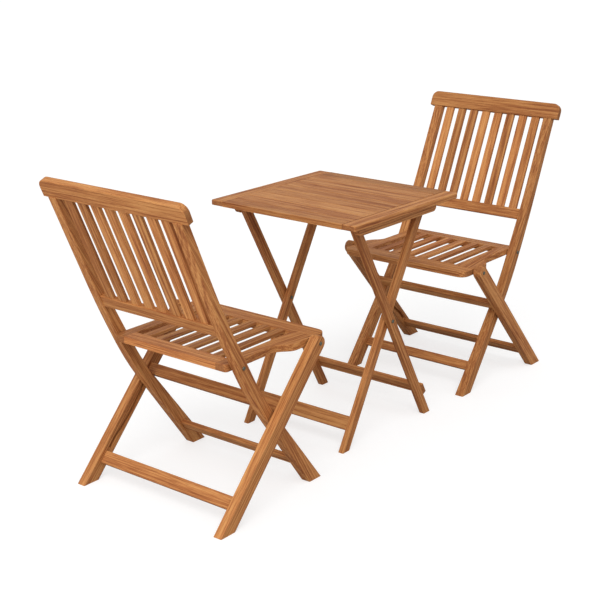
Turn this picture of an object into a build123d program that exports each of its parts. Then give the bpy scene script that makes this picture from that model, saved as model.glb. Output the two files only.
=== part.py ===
from build123d import *
import math
import os

# Patio dining set: a folding table with a folding chair on each side.
# World frame: millimetres, +Z up, +X along the table slats, +Y from the near chair to the far chair.
# Chair frame: +Y forward, y = 0 at the front tip of the front feet, x = 0 at the middle.

# ---- where the three pieces of furniture stand ----
CHAIR_Y = 381.0
TABLE_X = 4.0
TABLE_Y = -10.0

# ---- chair: back frame (long bent stiles, from the top of the back to the front feet) ----
STILE_T = 29.5
STILE_OUT = 235.8
STILE_SPLAY = 0.3
BEND = 85.0
BELOW_FLOOR = 60.0
REAR_EDGE = ((-51.5, 0.0), (-291.0, 322.0), (-391.0, 512.7), (-538.5, 840.0))
FRONT_EDGE = ((0.0, 0.0), (-246.5, 311.5), (-397.8, 588.0), (-513.9, 845.0))
BACK_TILT = 24.0
FOOT_TILT = 37.2
CAP_HALF = 252.0
CAP_H = 52.0
CAP_T = 20.0
CAP_Y, CAP_Z = -535.5, 865.0
CAP_R = 23.0
CAP_EASE = 2.5
LOWER_RAIL_H, LOWER_RAIL_T = 35.0, 17.0
LOWER_RAIL_Y, LOWER_RAIL_Z = -386.5, 533.0
BACK_SLATS = 8
BACK_PITCH = 48.3
BACK_SLAT_W, BACK_SLAT_T = 28.5, 11.0
BACK_SLAT_EASE = 1.5
BACK_SLAT_SPARE = 4.0
FRONT_STRETCHER_H, FRONT_STRETCHER_T = 30.0, 15.0
FRONT_STRETCHER_Y, FRONT_STRETCHER_Z = -88.0, 74.0
STRETCHER_SPARE = 4.0

# ---- chair: seat ----
SEAT_TOP = 428.5
SEAT_T = 20.0
SEAT_REAR, SEAT_FRONT = -357.0, 22.0
REAR_RAIL_FRONT = -311.0
FRONT_RAIL_REAR = -43.0
FRONT_RAIL_LAP = -32.0
SEAT_HALF_REAR, SEAT_HALF_FRONT = 201.5, 236.5
FLARE_START, FLARE_END = -176.0, -104.0
SEAT_PITCH = 51.2
SEAT_SLATS = 6
SEAT_GAP = 24.0
SEAT_SLAT_T = 9.7
SEAT_CORNER_FRONT, SEAT_CORNER_REAR = 29.0, 10.0

# ---- chair: rear leg frame (straight legs outside the stiles) ----
LEG_T = 27.8
LEG_IN = 240.0
LEG_W = 41.0
LEG_FOOT_Y = -433.5
STOP_RAIL_L, STOP_RAIL_T, STOP_RAIL_AT = 33.0, 18.0, 201.0
REAR_STRETCHER_L, REAR_STRETCHER_T, REAR_STRETCHER_AT = 37.0, 15.0, 488.0
STOP_GAP = -3.0

# ---- a plane outside every part of a chair, and leg lengths that pass the floor ----
OUTSIDE = 300.0
CHAIR_LEG_LONG = 620.0
TABLE_LEG_LONG = 820.0

# ---- chair: pivots and the pin that slides in the leg groove ----
SEAT_PIVOT = (-324.5, 419.3)
LEG_PIVOT = (-47.0, 417.0)
CROSSING = (-209.0, 242.0)
BOLT_R = 4.0
RUNNING = 0.08
HEAD_R, HEAD_H = 5.4, 2.4
HEAD_ROUND = 1.2
SEAT_BOLT_TIP = 171.0
LEG_BOLT_TIP = 205.0
PIN_IN_STILE = 14.0
FOLD = 60.0
LEG_RATIO = -0.344
PIN_R = 4.0
GROOVE_R = 5.0
GROOVE_SPARE = 34.0
GROOVE_DEPTH = 13.0
PIN_IN_LEG = 10.0

# ---- table ----
TABLE_H = 710.0
TOP_W, TOP_D, TOP_T = 526.0, 529.0, 16.0
TOP_CORNER = 7.0
END_BOARD = 45.0
TOP_SLATS = 9
SLAT_JOINT = 1.6
APRON_IN, APRON_T, APRON_H = 212.0, 18.0, 32.0
APRON_HALF = 198.0
APRON_R = 15.0
TLEG_T = 18.0
TLEG_W = 29.0
OUTER_LEG_OUT = 211.0
INNER_LEG_OUT = 192.0
TOP_PIVOT = (-178.0, 676.0)
TABLE_CROSSING = (4.5, 358.0)
INNER_TOP_SHIFT = 4.5
TOP_BOLT_IN_APRON = 11.0
NUT_GAP = 0.3
END_BOARD_EASE = 3.0
TOP_SLAT_EASE = 1.2
FAR_STRETCHER_W, FAR_STRETCHER_T, FAR_STRETCHER_AT = 37.0, 15.0, 691.0
NEAR_STRETCHER_W, NEAR_STRETCHER_T, NEAR_STRETCHER_AT = 43.0, 15.0, 692.5

EASE = 2.0
os.makedirs("parts", exist_ok=True)


def eased(solid, size=EASE):
    """Round every edge of a board a little; smaller if the shape is too fine."""
    for radius in (size, size * 0.6, size * 0.3):
        try:
            done = solid.fillet(radius, solid.edges())
            if done.is_valid:
                return done
        except Exception:
            continue
    return solid


def along_x(face_points, x0, x1):
    """A board whose side view is the closed outline (y, z) and which runs from x0 to x1."""
    outline = Polyline([Vector(x0, y, z) for y, z in face_points], close=True)
    return extrude(make_face(outline), amount=x1 - x0, dir=(1, 0, 0)).solids()[0]


def bar(y, z, length, thick, tilt, x0, x1):
    """A rail along x; its section is length by thick, leaning back by tilt degrees."""
    block = Box(x1 - x0, thick, length)
    return (Location(((x0 + x1) / 2, y, z), (tilt, 0, 0)) * block).solids()[0]


def rod(y, z, radius, x0, x1):
    """A round bar along x."""
    cyl = Cylinder(radius, x1 - x0)
    return (Location(((x0 + x1) / 2, y, z), (0, 90, 0)) * cyl).solids()[0]


def bolt(y, z, head_x, tip_x):
    """A round bolt along x with a low domed head standing outside head_x."""
    side = 1.0 if head_x > tip_x else -1.0
    shank = rod(y, z, BOLT_R, min(head_x, tip_x), max(head_x, tip_x))
    far = head_x + side * HEAD_H
    head = rod(y, z, HEAD_R, min(head_x, far), max(head_x, far))
    rim = [e for e in head.edges() if abs(e.center().X - far) < 0.1]
    head = head.fillet(HEAD_ROUND, rim)
    return (shank + head).solids()[0]


def turn(point, angle):
    """Turn a (y, z) vector by an angle in degrees, from +y toward +z."""
    c, s = math.cos(math.radians(angle)), math.sin(math.radians(angle))
    return (point[0] * c - point[1] * s, point[0] * s + point[1] * c)


def toward(start, end, distance):
    """The point a distance from start on the line to end."""
    dy, dz = end[0] - start[0], end[1] - start[1]
    length = math.hypot(dy, dz)
    return (start[0] + dy * distance / length, start[1] + dz * distance / length)


def board_between(a, b, width, x0, x1, round_a=False):
    """A straight board in the y-z plane from a to b, round about a when asked."""
    length = math.hypot(b[0] - a[0], b[1] - a[1])
    uy, uz = (b[0] - a[0]) / length, (b[1] - a[1]) / length
    ny, nz = -uz * width / 2, uy * width / 2
    pts = [(a[0] + ny, a[1] + nz), (b[0] + ny, b[1] + nz)]
    pts += [(b[0] - ny, b[1] - nz), (a[0] - ny, a[1] - nz)]
    solid = along_x(pts, x0, x1)
    if round_a:
        solid = solid + rod(a[0], a[1], width / 2, x0, x1)
    return solid.solids()[0]


def above_floor(solid):
    """Cut a leg off flat at the floor."""
    return (solid & Location((0, 0, 1000)) * Box(3000, 3000, 2000)).solids()[0]


def mirrored(solid):
    """The same part on the other side, across x = 0."""
    return mirror(solid, about=Plane.YZ).solids()[0]


# ------------------------------------------------------------------ chair

def curve_edge(edge, x):
    """One long edge of a stile: straight runs joined by smooth bends at the corners."""
    parts = []
    start = toward(edge[0], edge[1], -BELOW_FLOOR)
    for before, corner, after in zip(edge, edge[1:], edge[2:]):
        a = toward(corner, before, BEND)
        b = toward(corner, after, BEND)
        parts.append(Line((x, *start), (x, *a)))
        parts.append(Bezier((x, *a), (x, *corner), (x, *b)))
        start = b
    parts.append(Line((x, *start), (x, *edge[-1])))
    return parts


def make_stile():
    """Right stile: bent board, leaning inward toward the top, cut at the floor and the cap."""
    rear = curve_edge(REAR_EDGE, 0.0)
    front = curve_edge(FRONT_EDGE, 0.0)
    top = Line(rear[-1] @ 1, front[-1] @ 1)
    bottom = Line(rear[0] @ 0, front[0] @ 0)
    face = make_face(Wire(rear + front + [top, bottom]))
    board = extrude(face, amount=STILE_T, dir=(-1, 0, 0)).solids()[0]
    board = eased(board)
    board = Location((STILE_OUT, 0, 0), (0, -STILE_SPLAY, 0)) * board
    return above_floor(board)


def splay_shift(z):
    """How far the stile has leant inward at height z."""
    return z * math.tan(math.radians(STILE_SPLAY))


def make_cap():
    """The rail across the top of the back, its upper corners rounded."""
    block = Box(2 * CAP_HALF, CAP_T, CAP_H)
    ends = [e for e in block.edges().filter_by(Axis.Y) if e.center().Z > 0]
    block = block.fillet(CAP_R, ends)
    block = eased(block.solids()[0], CAP_EASE)
    return (Location((0, CAP_Y, CAP_Z), (BACK_TILT, 0, 0)) * block).solids()[0]


def make_back_slats(cap, lower):
    """The upright slats, from the lower rail to the cap and cut by both."""
    slats = []
    low = toward((LOWER_RAIL_Y, LOWER_RAIL_Z), (CAP_Y, CAP_Z), LOWER_RAIL_H / 2)
    high = toward((CAP_Y, CAP_Z), (LOWER_RAIL_Y, LOWER_RAIL_Z), CAP_H / 2)
    length = math.hypot(high[0] - low[0], high[1] - low[1])
    tilt = math.degrees(math.atan2(low[0] - high[0], high[1] - low[1]))
    for i in range(BACK_SLATS):
        x = (i - (BACK_SLATS - 1) / 2) * BACK_PITCH
        slat = Box(BACK_SLAT_W, BACK_SLAT_T, length + 2 * BACK_SLAT_SPARE).solids()[0]
        slat = eased(slat, BACK_SLAT_EASE)
        middle = ((low[0] + high[0]) / 2, (low[1] + high[1]) / 2)
        slat = Location((x, *middle), (tilt, 0, 0)) * slat
        slats.append((slat - cap - lower).solids()[0])
    return slats


def seat_outline():
    """Right half of the seat in plan, from the middle of the rear to the middle of the front."""
    flare = (FLARE_START + FLARE_END) / 2
    rear_corner = (SEAT_HALF_REAR, SEAT_REAR)
    front_corner = (SEAT_HALF_FRONT, SEAT_FRONT)
    edges = [
        Line((0, SEAT_REAR), (rear_corner[0] - SEAT_CORNER_REAR, SEAT_REAR)),
        RadiusArc((rear_corner[0] - SEAT_CORNER_REAR, SEAT_REAR),
                  (rear_corner[0], SEAT_REAR + SEAT_CORNER_REAR), -SEAT_CORNER_REAR),
        Line((rear_corner[0], SEAT_REAR + SEAT_CORNER_REAR), (rear_corner[0], FLARE_START)),
        Bezier((SEAT_HALF_REAR, FLARE_START), (SEAT_HALF_REAR, flare),
               (SEAT_HALF_FRONT, flare), (SEAT_HALF_FRONT, FLARE_END)),
        Line((SEAT_HALF_FRONT, FLARE_END), (SEAT_HALF_FRONT, SEAT_FRONT - SEAT_CORNER_FRONT)),
        RadiusArc((SEAT_HALF_FRONT, SEAT_FRONT - SEAT_CORNER_FRONT),
                  (front_corner[0] - SEAT_CORNER_FRONT, SEAT_FRONT), -SEAT_CORNER_FRONT),
        Line((front_corner[0] - SEAT_CORNER_FRONT, SEAT_FRONT), (0, SEAT_FRONT)),
        Line((0, SEAT_FRONT), (0, SEAT_REAR)),
    ]
    return make_face(Wire(edges))


def make_seat():
    """The seat: a plate cut into two side rails and two cross rails, with slats between."""
    half = extrude(seat_outline(), amount=SEAT_T, dir=(0, 0, 1))
    plate = (half + mirror(half, about=Plane.YZ)).solids()[0]
    outside = [e for e in plate.edges() if abs(e.center().Z - SEAT_T / 2) > SEAT_T / 2 - 0.1]
    plate = plate.fillet(EASE, outside)
    plate = (Location((0, 0, SEAT_TOP - SEAT_T)) * plate).solids()[0]
    mid = SEAT_TOP - SEAT_T / 2
    inner = SEAT_SLATS * SEAT_PITCH / 2 + SEAT_GAP / 2

    def cut(x0, x1, y0, y1):
        block = Box(x1 - x0, y1 - y0, 2 * SEAT_T)
        return Location(((x0 + x1) / 2, (y0 + y1) / 2, mid)) * block

    rail_right = (plate & cut(inner, OUTSIDE, SEAT_REAR - 10, FRONT_RAIL_LAP)).solids()[0]
    rear_rail = (plate & cut(-inner, inner, SEAT_REAR - 10, REAR_RAIL_FRONT)).solids()[0]
    front = plate & cut(-inner, inner, FRONT_RAIL_REAR, SEAT_FRONT + 10)
    ends = plate & cut(-OUTSIDE, OUTSIDE, FRONT_RAIL_LAP, SEAT_FRONT + 10)
    front_rail = (front + ends).solids()[0]
    holes = rod(*SEAT_PIVOT, BOLT_R + RUNNING, SEAT_BOLT_TIP - 1, OUTSIDE)
    holes = holes + rod(*LEG_PIVOT, BOLT_R + RUNNING, LEG_BOLT_TIP - 1, OUTSIDE)
    rail_right = (rail_right - holes).solids()[0]
    slats = []
    for i in range(SEAT_SLATS):
        x = (i - (SEAT_SLATS - 1) / 2) * SEAT_PITCH
        size = (SEAT_PITCH - SEAT_GAP, FRONT_RAIL_REAR - REAR_RAIL_FRONT, SEAT_SLAT_T)
        slat = Box(*size).solids()[0]
        long_edges = slat.edges().filter_by(Axis.Y)
        slat = slat.fillet(EASE, long_edges)
        y = (FRONT_RAIL_REAR + REAR_RAIL_FRONT) / 2
        slats.append((Location((x, y, SEAT_TOP - SEAT_SLAT_T / 2)) * slat).solids()[0])
    return rail_right, rear_rail, front_rail, slats


def pin_in_leg(angle):
    """Where the pin sits in the rest frame of the leg when the seat has turned by angle."""
    arm = (LEG_PIVOT[0] - SEAT_PIVOT[0], LEG_PIVOT[1] - SEAT_PIVOT[1])
    arm = turn(arm, angle)
    pivot = (SEAT_PIVOT[0] + arm[0], SEAT_PIVOT[1] + arm[1])
    back = turn((CROSSING[0] - pivot[0], CROSSING[1] - pivot[1]), -angle * (1 + LEG_RATIO))
    return (LEG_PIVOT[0] + back[0], LEG_PIVOT[1] + back[1])


def make_groove():
    """The blind groove in the right leg, along the pin's path and a little past its end."""
    steps = 28
    x0, x1 = LEG_IN - 1.0, LEG_IN + GROOVE_DEPTH
    points = [pin_in_leg(FOLD * (i - 0.5) / (steps - 1)) for i in range(steps + 1)]
    points.append(toward(points[-1], (LEG_FOOT_Y, 0.0), GROOVE_SPARE))
    groove = rod(*points[0], GROOVE_R, x0, x1)
    for a, b in zip(points, points[1:]):
        groove = groove + board_between(a, b, 2 * GROOVE_R, x0, x1, round_a=True)
    groove = groove + rod(*points[-1], GROOVE_R, x0, x1)
    return groove.solids()[0]


def make_rear_leg():
    """The right leg: round at the seat, flat at the floor, grooved inside for the pin."""
    foot = toward(LEG_PIVOT, (LEG_FOOT_Y, 0.0), CHAIR_LEG_LONG)
    leg = board_between(LEG_PIVOT, foot, LEG_W, LEG_IN, LEG_IN + LEG_T, round_a=True)
    leg = eased(leg)
    leg = above_floor(leg)
    leg = leg - rod(*LEG_PIVOT, BOLT_R, LEG_IN - 5, LEG_IN + LEG_T + 5)
    return (leg - make_groove()).solids()[0]


def leg_tilt():
    """How far the rear legs lean, in degrees."""
    return -math.degrees(math.atan2(LEG_PIVOT[0] - LEG_FOOT_Y, LEG_PIVOT[1]))


def make_chair():
    """Every part of one chair by name, in the chair's own frame."""
    foot_line = (LEG_FOOT_Y, 0.0)
    cap = make_cap()
    stile = (make_stile() - cap).solids()
    stile = max(stile, key=lambda s: s.volume)
    inner = STILE_OUT - STILE_T
    seat_bolt_x = STILE_OUT - splay_shift(SEAT_PIVOT[1] - HEAD_R) + 0.1
    pin_x = STILE_OUT - splay_shift(CROSSING[1])
    stile = stile - rod(*SEAT_PIVOT, BOLT_R, inner - 30, OUTSIDE)
    stile = stile - rod(*CROSSING, PIN_R, pin_x - PIN_IN_STILE, OUTSIDE)
    stile = stile.solids()[0]
    other = mirrored(stile)
    lower = bar(LOWER_RAIL_Y, LOWER_RAIL_Z, LOWER_RAIL_H, LOWER_RAIL_T, BACK_TILT, -inner, inner)
    lower = (eased(lower) - stile - other).solids()
    lower = max(lower, key=lambda s: s.volume)
    front = bar(FRONT_STRETCHER_Y, FRONT_STRETCHER_Z, FRONT_STRETCHER_H, FRONT_STRETCHER_T,
                FOOT_TILT, -inner - STRETCHER_SPARE, inner + STRETCHER_SPARE)
    front = (eased(front) - stile - other).solids()
    front = max(front, key=lambda s: s.volume)
    rail, rear_rail, front_rail, seat_slats = make_seat()
    leg = make_rear_leg()
    stop_at = toward(LEG_PIVOT, foot_line, STOP_RAIL_AT)
    stop = bar(stop_at[0] + STOP_GAP, stop_at[1], STOP_RAIL_L, STOP_RAIL_T, leg_tilt(),
               -LEG_IN, LEG_IN)
    low_at = toward(LEG_PIVOT, foot_line, REAR_STRETCHER_AT)
    low = bar(*low_at, REAR_STRETCHER_L, REAR_STRETCHER_T, leg_tilt(), -LEG_IN, LEG_IN)
    seat_bolt = bolt(*SEAT_PIVOT, seat_bolt_x, SEAT_BOLT_TIP)
    leg_bolt = bolt(*LEG_PIVOT, LEG_IN + LEG_T, LEG_BOLT_TIP)
    pin = rod(*CROSSING, PIN_R, pin_x - PIN_IN_STILE, LEG_IN + PIN_IN_LEG)
    return {
        "stile_right": [stile],
        "stile_left": [other],
        "cap_rail": [cap],
        "lower_back_rail": [lower],
        "back_slats": make_back_slats(cap, lower),
        "front_stretcher": [front],
        "seat_rail_right": [rail],
        "seat_rail_left": [mirrored(rail)],
        "seat_front_rail": [front_rail],
        "seat_rear_rail": [rear_rail],
        "seat_slats": seat_slats,
        "rear_leg_right": [leg],
        "rear_leg_left": [mirrored(leg)],
        "stop_rail": [eased(stop)],
        "rear_stretcher": [eased(low)],
        "seat_pivot_bolts": [seat_bolt, mirrored(seat_bolt)],
        "leg_pivot_bolts": [leg_bolt, mirrored(leg_bolt)],
        "slide_pins": [pin, mirrored(pin)],
    }


# ------------------------------------------------------------------ table

def make_end_board():
    """Right end board: rounded outer corners, eased edges."""
    block = Box(END_BOARD, TOP_D, TOP_T)
    corners = [e for e in block.edges().filter_by(Axis.Z) if e.center().X > 0]
    block = block.fillet(TOP_CORNER, corners)
    block = eased(block.solids()[0], END_BOARD_EASE)
    return (Location((TOP_W / 2 - END_BOARD / 2, 0, TABLE_H - TOP_T / 2)) * block).solids()[0]


def make_top_slats():
    """The slats of the table top, each running between the end boards."""
    width = (TOP_D + SLAT_JOINT) / TOP_SLATS - SLAT_JOINT
    length = TOP_W - 2 * END_BOARD
    slats = []
    for i in range(TOP_SLATS):
        y = (i - (TOP_SLATS - 1) / 2) * (width + SLAT_JOINT)
        slat = Box(length, width, TOP_T).solids()[0]
        slat = slat.fillet(TOP_SLAT_EASE, slat.edges().filter_by(Axis.X))
        slats.append((Location((0, y, TABLE_H - TOP_T / 2)) * slat).solids()[0])
    return slats


def make_apron():
    """The rail under the right edge of the top, with the hole its pivot bolt turns in."""
    z1 = TABLE_H - TOP_T
    block = Box(APRON_T, 2 * APRON_HALF, APRON_H)
    ends = [e for e in block.edges().filter_by(Axis.X) if e.center().Z < 0]
    block = block.fillet(APRON_R, ends).solids()[0]
    low = [e for e in block.edges() if e.center().Z < -APRON_H / 2 + APRON_R * 0.6]
    low = [e for e in low if abs(abs(e.center().X) - APRON_T / 2) < 0.1]
    block = block.fillet(EASE, low)
    block = (Location((APRON_IN + APRON_T / 2, 0, z1 - APRON_H / 2)) * block).solids()[0]
    hole_end = APRON_IN + TOP_BOLT_IN_APRON + 1
    return (block - rod(*TOP_PIVOT, BOLT_R + RUNNING, APRON_IN - 5, hole_end)).solids()[0]


def make_table():
    """Every part of the table by name, in the table's own frame."""
    inner_top = (2 * TABLE_CROSSING[0] - TOP_PIVOT[0] - INNER_TOP_SHIFT, TOP_PIVOT[1])
    outer_foot = toward(TOP_PIVOT, TABLE_CROSSING, TABLE_LEG_LONG)
    inner_foot = toward(inner_top, TABLE_CROSSING, TABLE_LEG_LONG)
    outer = board_between(TOP_PIVOT, outer_foot, TLEG_W,
                          OUTER_LEG_OUT - TLEG_T, OUTER_LEG_OUT, round_a=True)
    inner = board_between(inner_top, inner_foot, TLEG_W,
                          INNER_LEG_OUT - TLEG_T, INNER_LEG_OUT, round_a=True)
    outer = above_floor(eased(outer))
    inner = above_floor(eased(inner))
    x_in, x_out = INNER_LEG_OUT - TLEG_T, OUTER_LEG_OUT
    outer = outer - rod(*TOP_PIVOT, BOLT_R, x_in, x_out + 5)
    outer = (outer - rod(*TABLE_CROSSING, BOLT_R, x_in - 5, x_out + 5)).solids()[0]
    inner = inner - rod(*TABLE_CROSSING, BOLT_R + RUNNING, x_in - 5, x_out + 5)
    inner = inner.solids()[0]
    top_bolt = rod(*TOP_PIVOT, BOLT_R, OUTER_LEG_OUT - TLEG_T, APRON_IN + TOP_BOLT_IN_APRON)
    cross_bolt = bolt(*TABLE_CROSSING, x_out, x_in)
    nut = rod(*TABLE_CROSSING, HEAD_R, x_in - HEAD_H, x_in - NUT_GAP)
    cross_bolt = (cross_bolt + rod(*TABLE_CROSSING, BOLT_R, x_in - HEAD_H, x_in) + nut)
    cross_bolt = cross_bolt.solids()[0]

    outer_tilt = math.degrees(math.atan2(TABLE_CROSSING[0] - TOP_PIVOT[0],
                                         TOP_PIVOT[1] - TABLE_CROSSING[1]))
    far_at = toward(TOP_PIVOT, TABLE_CROSSING, FAR_STRETCHER_AT)
    off = (TLEG_W + FAR_STRETCHER_T) / 2
    rad = math.radians(outer_tilt)
    far_at = (far_at[0] + off * math.cos(rad), far_at[1] + off * math.sin(rad))
    far = bar(*far_at, FAR_STRETCHER_W, FAR_STRETCHER_T, outer_tilt,
              -OUTER_LEG_OUT, OUTER_LEG_OUT)
    inner_tilt = math.degrees(math.atan2(TABLE_CROSSING[0] - inner_top[0],
                                         inner_top[1] - TABLE_CROSSING[1]))
    near_at = toward(inner_top, TABLE_CROSSING, NEAR_STRETCHER_AT)
    near = bar(*near_at, NEAR_STRETCHER_W, NEAR_STRETCHER_T, inner_tilt, -x_in, x_in)

    end_board, apron = make_end_board(), make_apron()
    nodes = {
        "table_end_board_right": [end_board],
        "table_end_board_left": [mirrored(end_board)],
        "table_apron_right": [apron],
        "table_apron_left": [mirrored(apron)],
        "table_outer_leg_right": [outer],
        "table_outer_leg_left": [mirrored(outer)],
        "table_far_stretcher": [eased(far)],
        "table_inner_leg_right": [inner],
        "table_inner_leg_left": [mirrored(inner)],
        "table_near_stretcher": [eased(near)],
        "table_top_pivot_bolts": [top_bolt, mirrored(top_bolt)],
        "table_cross_bolts": [cross_bolt, mirrored(cross_bolt)],
    }
    for i, slat in enumerate(make_top_slats()):
        nodes[f"table_slat_{i + 1}"] = [slat]
    return nodes


# ------------------------------------------------------------------ place and write

def write(name, solids, place):
    """Put the solids in the world and save them as one part file."""
    placed = [place * s for s in solids]
    shape = placed[0] if len(placed) == 1 else Compound(children=placed)
    export_step(shape, f"parts/{name}.step")


chair = make_chair()
places = {
    "near": Location((0, -CHAIR_Y, 0)),
    "far": Location((0, CHAIR_Y, 0), (0, 0, 180)),
}
for side, place in places.items():
    for name, solids in chair.items():
        write(f"{side}_{name}", solids, place)
for name, solids in make_table().items():
    write(name, solids, Location((TABLE_X, TABLE_Y, 0)))
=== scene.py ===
import math
import random

import bpy
import numpy as np
from mathutils import Euler, Matrix, Vector

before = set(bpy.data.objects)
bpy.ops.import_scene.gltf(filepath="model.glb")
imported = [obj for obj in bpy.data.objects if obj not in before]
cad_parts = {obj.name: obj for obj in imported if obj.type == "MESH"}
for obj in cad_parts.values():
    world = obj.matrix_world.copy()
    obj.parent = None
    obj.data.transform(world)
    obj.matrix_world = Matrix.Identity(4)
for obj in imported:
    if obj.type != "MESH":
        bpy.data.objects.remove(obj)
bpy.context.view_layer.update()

SEED = 11
SEAT_SLAT_PITCH = 0.0512
BACK_SLAT_PITCH = 0.0483
RING_SPACING = 0.0052

HONEY = (0.620, 0.294, 0.101)
AMBER = (0.450, 0.171, 0.053)
UMBER = (0.215, 0.060, 0.019)
PORE = (0.120, 0.040, 0.015)
END_GRAIN = (0.250, 0.095, 0.036)

# the spread of tone from board to board, from slat to slat in a row, and over the table top
BOARD_TONES = (0.93, 1.07)
ROW_TONES = (0.80, 1.26)
# the table top's range also sits a little low overall: painted shade offsetting the stronger light on its
# up-facing top
TABLE_SLAT_TONES_AND_SHADE = (0.82, 1.10)

# where in the trunk a board is cut: lowest and highest offset along, across and through it
CUT_ALONG = (0, 5)
CUT_ACROSS = (0.05, 0.16)
CUT_THROUGH = (0.03, 0.12)
NEXT_SLAT_SHIFT = (4.0, 0.06, 0.05)

# how many times a grain layer repeats in a metre: along, across and through the board
SWAY_SCALE = (2.2, 7.0, 7.0)
SWAY_BEND = (0.0, 0.014, 0.014)
STREAK_SCALE = (4.0, 150.0, 150.0)
FIBRE_SCALE = (14.0, 620.0, 620.0)
BLOTCH_SCALE = (3.0, 16.0, 16.0)
PORE_SCALE = (48.0, 1500.0, 1500.0)

# how much of the shade each layer makes
RING_SHARE = 0.20
STREAK_SHARE = 0.30
BLOTCH_SHARE = 0.12
FIBRE_SHARE = 0.38

FLOOR_SIZE = 80.0
FLOOR_GREY = 0.44
FLOOR_LIFT = 0.63
SKY_LIGHT = 0.62
SKY_LIFT = 0.45
CAMERA_PLACE = (2.2800, -3.0698, 1.5928)
CAMERA_PITCH = 17.59
CAMERA_YAW = 38.25
CAMERA_LENS = 78.41

# painted light and shade: pieces given their own tone, lighter or darker than the rest to stand in for
# how much light falls on them
PAINTED_LIGHT_TONES = {
    "near_seat_rear_rail": 1.22,
    "near_stile_right": 1.10,
    "near_stile_left": 1.06,
    "near_back_slats": 1.06,
    "table_apron_right": 1.20,
    "near_seat_front_rail": 1.06,
    "near_cap_rail": 1.07,
    "near_stop_rail": 0.92,
    "table_end_board_right": 1.10,
    "table_end_board_left": 1.05,
    "far_seat_front_rail": 1.08,
    "far_cap_rail": 0.96,
}


# ---------------------------------------------------------------- wood

def principal_axes(node):
    """The long, wide and thin directions of a board, from its own corners."""
    points = np.array([v.co[:] for v in node.data.vertices])
    if node.name.endswith("slats"):
        points[:, 0] = 0.0
    points = points - (points.max(0) + points.min(0)) / 2
    values, vectors = np.linalg.eigh(points.T @ points)
    order = np.argsort(values)[::-1]
    long, wide = Vector(vectors[:, order[0]]), Vector(vectors[:, order[1]])
    if node.name.endswith("slats"):
        wide = Vector((1, 0, 0))
    return long, wide, long.cross(wide)


def add(tree, kind, **values):
    """A node of this kind, with its properties and its inputs set by name."""
    node = tree.nodes.new(kind)
    for name, value in values.items():
        if hasattr(node, name):
            setattr(node, name, value)
        else:
            node.inputs[name.replace("_", " ").capitalize()].default_value = value
    return node


def scaled(tree, source, factors):
    """The vector with each of its parts multiplied by its own factor."""
    node = add(tree, "ShaderNodeVectorMath", operation="MULTIPLY")
    tree.links.new(source, node.inputs[0])
    node.inputs[1].default_value = factors
    return node.outputs[0]


def summed(tree, first, second):
    """The sum of two vectors."""
    node = add(tree, "ShaderNodeVectorMath", operation="ADD")
    tree.links.new(first, node.inputs[0])
    tree.links.new(second, node.inputs[1])
    return node.outputs[0]


def maths(tree, operation, first, second=None, clamp=False):
    """A math node on two values, each a socket or a number."""
    node = add(tree, "ShaderNodeMath", operation=operation, use_clamp=clamp)
    for slot, value in enumerate((first, second)):
        if value is None:
            continue
        if isinstance(value, (int, float)):
            node.inputs[slot].default_value = value
        else:
            tree.links.new(value, node.inputs[slot])
    return node.outputs[0]


def noise(tree, vector, detail=2.0, rough=0.5):
    """Noise from 0 to 1 at the vector's own scale."""
    node = add(tree, "ShaderNodeTexNoise", Scale=1.0, Detail=detail, Roughness=rough)
    tree.links.new(vector, node.inputs["Vector"])
    return node.outputs["Fac"]


def ranged(tree, value, low, high, to_low=0.0, to_high=1.0):
    """The value stretched from one range to another, and held inside it."""
    node = add(tree, "ShaderNodeMapRange")
    tree.links.new(value, node.inputs["Value"])
    node.inputs["From Min"].default_value = low
    node.inputs["From Max"].default_value = high
    node.inputs["To Min"].default_value = to_low
    node.inputs["To Max"].default_value = to_high
    return node.outputs["Result"]


def mixed(tree, factor, first, second, blend="MIX"):
    """Two colours mixed by a factor."""
    node = add(tree, "ShaderNodeMix", data_type="RGBA", blend_type=blend)
    for slot, value in ((0, factor), (6, first), (7, second)):
        if isinstance(value, (int, float)):
            node.inputs[slot].default_value = value
        elif isinstance(value, tuple):
            node.inputs[slot].default_value = (*value, 1.0)
        else:
            tree.links.new(value, node.inputs[slot])
    return node.outputs[2]


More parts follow.
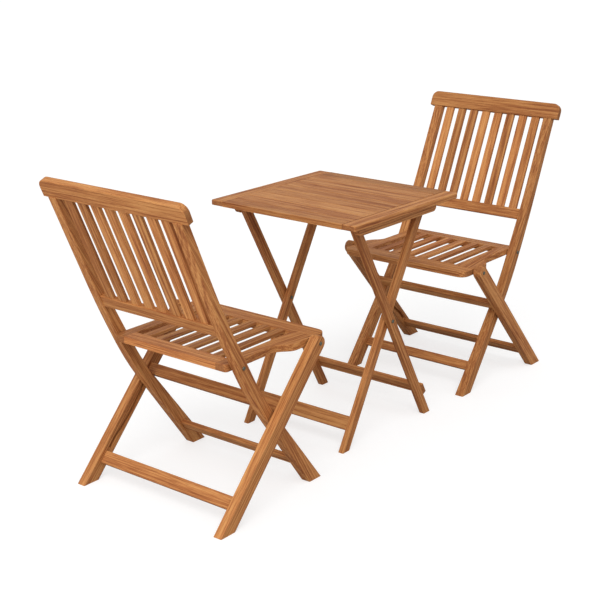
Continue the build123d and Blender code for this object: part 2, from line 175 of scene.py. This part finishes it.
def wood_group():
    """Oiled hardwood along the vector's X: growth rings, fibres and pores."""
    tree = bpy.data.node_groups.new("oiled_hardwood", "ShaderNodeTree")
    face = tree.interface
    face.new_socket("Vector", in_out="INPUT", socket_type="NodeSocketVector")
    face.new_socket("Endness", in_out="INPUT", socket_type="NodeSocketFloat")
    face.new_socket("Tone", in_out="INPUT", socket_type="NodeSocketFloat")
    face.new_socket("Color", in_out="OUTPUT", socket_type="NodeSocketColor")
    face.new_socket("Roughness", in_out="OUTPUT", socket_type="NodeSocketFloat")
    face.new_socket("Height", in_out="OUTPUT", socket_type="NodeSocketFloat")
    given = tree.nodes.new("NodeGroupInput")
    result = tree.nodes.new("NodeGroupOutput")
    place = given.outputs["Vector"]

    # the trunk's rings, bent by slow waves along the board
    sway = add(tree, "ShaderNodeTexNoise", Scale=1.0, Detail=2.0, Roughness=0.5)
    tree.links.new(scaled(tree, place, SWAY_SCALE), sway.inputs["Vector"])
    bent = summed(tree, place, scaled(tree, sway.outputs["Color"], SWAY_BEND))
    flat = scaled(tree, bent, (0.0, 1.0, 1.0))
    radius = add(tree, "ShaderNodeVectorMath", operation="LENGTH")
    tree.links.new(flat, radius.inputs[0])
    turns = maths(tree, "MULTIPLY", radius.outputs["Value"], 1.0 / RING_SPACING)
    rings = add(tree, "ShaderNodeTexNoise", noise_dimensions="1D")
    rings.inputs["Scale"].default_value = 1.0
    rings.inputs["Detail"].default_value = 2.5
    rings.inputs["Roughness"].default_value = 0.62
    tree.links.new(turns, rings.inputs["W"])
    ring = ranged(tree, rings.outputs["Fac"], 0.30, 0.70)

    streak = ranged(tree, noise(tree, scaled(tree, place, STREAK_SCALE), 4.0, 0.6), 0.30, 0.70)
    fibre = ranged(tree, noise(tree, scaled(tree, place, FIBRE_SCALE), 3.0, 0.6), 0.25, 0.75)
    blotch = ranged(tree, noise(tree, scaled(tree, place, BLOTCH_SCALE), 2.0, 0.5), 0.30, 0.70)
    pores = ranged(tree, noise(tree, scaled(tree, place, PORE_SCALE), 1.0, 0.5), 0.62, 0.74)

    shade = maths(tree, "MULTIPLY", ring, RING_SHARE)
    shade = maths(tree, "ADD", shade, maths(tree, "MULTIPLY", streak, STREAK_SHARE))
    shade = maths(tree, "ADD", shade, maths(tree, "MULTIPLY", blotch, BLOTCH_SHARE))
    shade = maths(tree, "ADD", shade, maths(tree, "MULTIPLY", fibre, FIBRE_SHARE))
    warm = mixed(tree, ranged(tree, shade, 0.46, 0.72), AMBER, HONEY)
    dark = mixed(tree, ranged(tree, shade, 0.24, 0.52), UMBER, warm)
    pored = mixed(tree, maths(tree, "MULTIPLY", pores, 0.55), dark, PORE)
    ended = mixed(tree, maths(tree, "MULTIPLY", given.outputs["Endness"], 0.62), pored, END_GRAIN)
    toned = add(tree, "ShaderNodeHueSaturation")
    tree.links.new(given.outputs["Tone"], toned.inputs["Value"])
    tree.links.new(ended, toned.inputs["Color"])
    tree.links.new(toned.outputs["Color"], result.inputs["Color"])

    sheen = ranged(tree, shade, 0.2, 0.8, 0.60, 0.46)
    rough = maths(tree, "ADD", sheen, maths(tree, "MULTIPLY", pores, 0.15))
    rough = maths(tree, "ADD", rough, maths(tree, "MULTIPLY", given.outputs["Endness"], 0.16), clamp=True)
    tree.links.new(rough, result.inputs["Roughness"])
    height = maths(tree, "SUBTRACT", maths(tree, "MULTIPLY", fibre, 0.5), pores)
    height = maths(tree, "ADD", height, maths(tree, "MULTIPLY", ring, 0.5))
    tree.links.new(height, result.inputs["Height"])
    return tree


def wood(name, axes, tone, pitch=None):
    """The finish of one board, or of a row of slats spaced at the pitch."""
    mat = bpy.data.materials.new(name)
    mat.use_nodes = True
    tree = mat.node_tree
    shader = tree.nodes["Principled BSDF"]
    shader.inputs["Specular IOR Level"].default_value = 0.15
    coords = tree.nodes.new("ShaderNodeTexCoord")
    place = coords.outputs["Object"]

    board = Matrix(axes)
    turn = add(tree, "ShaderNodeMapping", vector_type="POINT")
    turn.inputs["Rotation"].default_value = board.to_euler()
    cut = (dice.uniform(*CUT_ALONG), dice.uniform(*CUT_ACROSS), dice.uniform(*CUT_THROUGH))
    turn.inputs["Location"].default_value = cut
    tree.links.new(place, turn.inputs["Vector"])
    grain = turn.outputs["Vector"]
    value = None
    if pitch:
        parts = add(tree, "ShaderNodeSeparateXYZ")
        tree.links.new(place, parts.inputs[0])
        number = maths(tree, "FLOOR", maths(tree, "MULTIPLY", parts.outputs["X"], 1.0 / pitch))
        number = maths(tree, "ADD", number, dice.uniform(3, 90))
        chance = add(tree, "ShaderNodeTexWhiteNoise", noise_dimensions="1D")
        tree.links.new(number, chance.inputs["W"])
        shift = scaled(tree, chance.outputs["Color"], NEXT_SLAT_SHIFT)
        grain = summed(tree, grain, shift)
        darkest, lightest = ROW_TONES[0] * tone, ROW_TONES[1] * tone
        value = ranged(tree, chance.outputs["Value"], 0.0, 1.0, darkest, lightest)

    facing = add(tree, "ShaderNodeVectorMath", operation="DOT_PRODUCT")
    tree.links.new(coords.outputs["Normal"], facing.inputs[0])
    facing.inputs[1].default_value = axes[0]
    endness = ranged(tree, maths(tree, "ABSOLUTE", facing.outputs["Value"]), 0.75, 0.95)

    finish = tree.nodes.new("ShaderNodeGroup")
    finish.node_tree = wood_nodes
    tree.links.new(grain, finish.inputs["Vector"])
    tree.links.new(endness, finish.inputs["Endness"])
    if value:
        tree.links.new(value, finish.inputs["Tone"])
    else:
        finish.inputs["Tone"].default_value = tone
    bump = add(tree, "ShaderNodeBump", Strength=0.22, Distance=0.0005)
    tree.links.new(finish.outputs["Height"], bump.inputs["Height"])
    tree.links.new(finish.outputs["Color"], shader.inputs["Base Color"])
    tree.links.new(finish.outputs["Roughness"], shader.inputs["Roughness"])
    tree.links.new(bump.outputs["Normal"], shader.inputs["Normal"])
    return mat


def steel():
    """Dulled zinc-plated steel."""
    mat = bpy.data.materials.new("zinc_plated_steel")
    mat.use_nodes = True
    tree = mat.node_tree
    shader = tree.nodes["Principled BSDF"]
    shader.inputs["Metallic"].default_value = 0.9
    place = tree.nodes.new("ShaderNodeTexCoord").outputs["Object"]
    cloud = noise(tree, scaled(tree, place, (420.0, 420.0, 420.0)), 3.0, 0.6)
    scratch = noise(tree, scaled(tree, place, (300.0, 2400.0, 2400.0)), 2.0, 0.5)
    colour = mixed(tree, ranged(tree, cloud, 0.3, 0.7), (0.13, 0.135, 0.10), (0.24, 0.245, 0.20))
    tree.links.new(colour, shader.inputs["Base Color"])
    tree.links.new(ranged(tree, scratch, 0.3, 0.7, 0.34, 0.52), shader.inputs["Roughness"])
    bump = add(tree, "ShaderNodeBump", Strength=0.15, Distance=0.0002)
    tree.links.new(scratch, bump.inputs["Height"])
    tree.links.new(bump.outputs["Normal"], shader.inputs["Normal"])
    return mat


def dress(node, mat):
    """Gives every face of a CAD node this material."""
    node.data.materials.clear()
    node.data.materials.append(mat)


dice = random.Random(SEED)
wood_nodes = wood_group()
metal = steel()
for name in sorted(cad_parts):
    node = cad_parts[name]
    if name.endswith("bolts") or name.endswith("pins"):
        dress(node, metal)
        continue
    # listed pieces take their set tone, painted light or shade for how light falls on them; the rest take
    # a random board tone
    tone = PAINTED_LIGHT_TONES.get(name, dice.uniform(*BOARD_TONES))
    # table top slats take a random spread of tone, set low overall as painted shade for their up-facing
    # top
    if name.startswith("table_slat"):
        tone = dice.uniform(*TABLE_SLAT_TONES_AND_SHADE)
    pitch = None
    if name.endswith("seat_slats"):
        pitch = SEAT_SLAT_PITCH
    elif name.endswith("back_slats"):
        pitch = BACK_SLAT_PITCH
    dress(node, wood("wood_" + name, principal_axes(node), tone, pitch))


# ---------------------------------------------------------------- studio

def floor(size):
    """A plain pale floor, its top at height zero, lifted to paper white with faint shadows."""
    mesh = bpy.data.meshes.new("floor")
    half = size / 2
    corners = [(-half, -half, 0), (half, -half, 0), (half, half, 0), (-half, half, 0)]
    mesh.from_pydata(corners, [], [(0, 1, 2, 3)])
    ground = bpy.data.objects.new("floor", mesh)
    bpy.context.collection.objects.link(ground)
    mat = bpy.data.materials.new("floor_paper")
    mat.use_nodes = True
    tree = mat.node_tree
    shader = tree.nodes["Principled BSDF"]
    shader.inputs["Base Color"].default_value = (FLOOR_GREY, FLOOR_GREY, FLOOR_GREY, 1)
    shader.inputs["Roughness"].default_value = 0.9
    shader.inputs["Specular IOR Level"].default_value = 0.0
    shader.inputs["Emission Color"].default_value = (1, 1, 1, 1)
    path = tree.nodes.new("ShaderNodeLightPath")
    lift = maths(tree, "MULTIPLY", path.outputs["Is Camera Ray"], FLOOR_LIFT)
    tree.links.new(lift, shader.inputs["Emission Strength"])
    mesh.materials.append(mat)


def sun(name, towards, angle, strength):
    """A broad even light from a direction, its shadows soft by the angle in degrees."""
    light = bpy.data.lights.new(name, "SUN")
    light.angle = math.radians(angle)
    light.energy = strength
    lamp = bpy.data.objects.new(name, light)
    lamp.rotation_euler = Vector(towards).to_track_quat("Z", "Y").to_euler()
    bpy.context.collection.objects.link(lamp)


def panel(name, place, aim, size, power):
    """A square soft light at a place, turned to the point it aims at."""
    light = bpy.data.lights.new(name, "AREA")
    light.size = size
    light.energy = power
    lamp = bpy.data.objects.new(name, light)
    lamp.location = place
    lamp.rotation_euler = (Vector(place) - Vector(aim)).to_track_quat("Z", "Y").to_euler()
    bpy.context.collection.objects.link(lamp)


def sky(strength, lift):
    """An even white surround, lifted to paper white where it is seen directly."""
    world = bpy.data.worlds.new("studio")
    world.use_nodes = True
    tree = world.node_tree
    back = tree.nodes["Background"]
    back.inputs["Color"].default_value = (1, 1, 1, 1)
    path = tree.nodes.new("ShaderNodeLightPath")
    seen = maths(tree, "MULTIPLY", path.outputs["Is Camera Ray"], lift)
    tree.links.new(maths(tree, "ADD", seen, strength), back.inputs["Strength"])
    bpy.context.scene.world = world


def camera(place, pitch, yaw, lens):
    """The view, looking down by the pitch and turned to the left by the yaw."""
    data = bpy.data.cameras.new("camera")
    data.lens = lens
    data.sensor_width = 36.0
    data.clip_end = 200.0
    eye = bpy.data.objects.new("camera", data)
    eye.location = place
    eye.rotation_euler = Euler((math.radians(90 - pitch), 0, math.radians(yaw)))
    bpy.context.collection.objects.link(eye)
    bpy.context.scene.camera = eye


floor(FLOOR_SIZE)
sky(SKY_LIGHT, SKY_LIFT)
sun("overhead", (0.42, -0.55, 0.72), 45.0, 1.40)
panel("front", (0.0, -3.6, 0.9), (0.0, 0.0, 0.6), 2.4, 36.0)
camera(CAMERA_PLACE, CAMERA_PITCH, CAMERA_YAW, CAMERA_LENS)
bpy.context.scene.view_settings.view_transform = "Standard"
